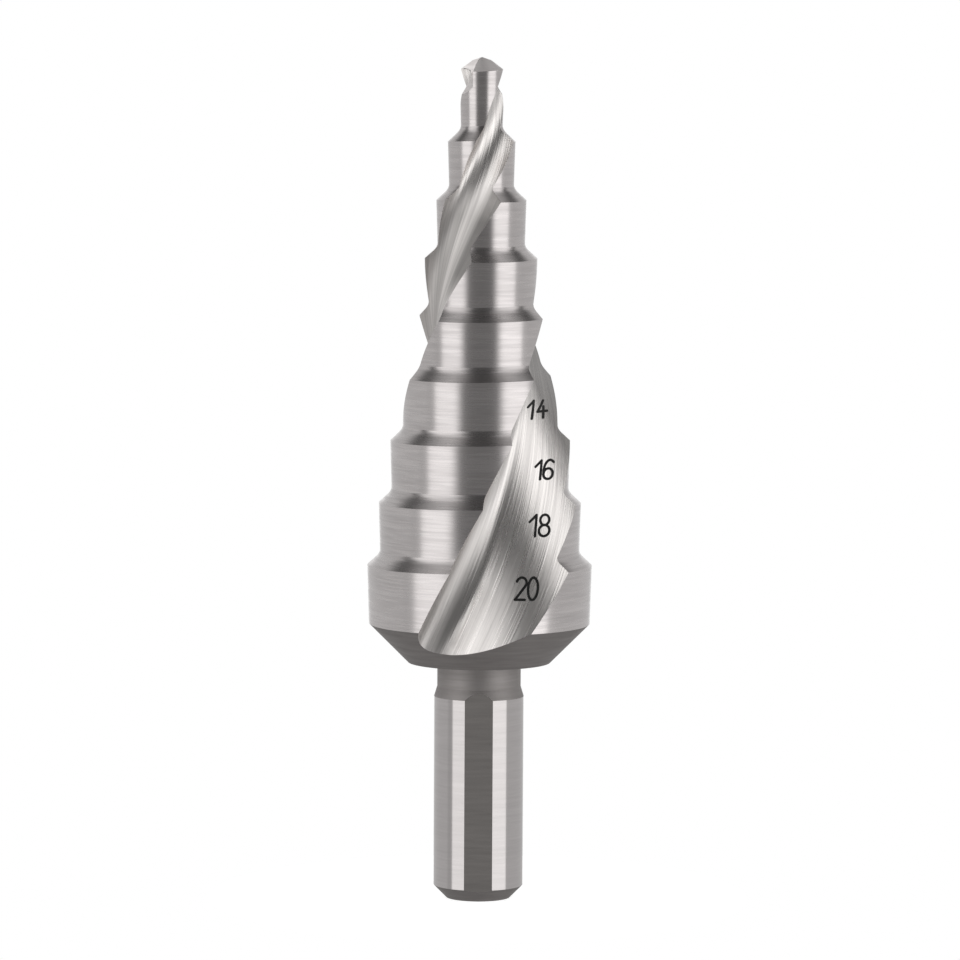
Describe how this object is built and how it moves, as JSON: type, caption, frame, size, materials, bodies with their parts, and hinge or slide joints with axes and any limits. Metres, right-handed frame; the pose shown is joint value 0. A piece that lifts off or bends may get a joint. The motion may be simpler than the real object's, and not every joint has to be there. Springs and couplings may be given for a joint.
{
  "type": "step drill bit",
  "caption": "Spiral-fluted step drill bit of ground steel with a split point, a relieved neck and a round shank with flats.",
  "frame": {"origin": "centre of the shank's end face", "axes": "+Z along the drill's axis, towards its tip; -Y towards the flat that faces the front"},
  "size_m": [0.02, 0.0192, 0.075],
  "materials": {
    "ground_steel": "ground bright"
  },
  "bodies": {
    "root": {"step_drill_bit": "ground_steel"}
  },
  "joints": []
}
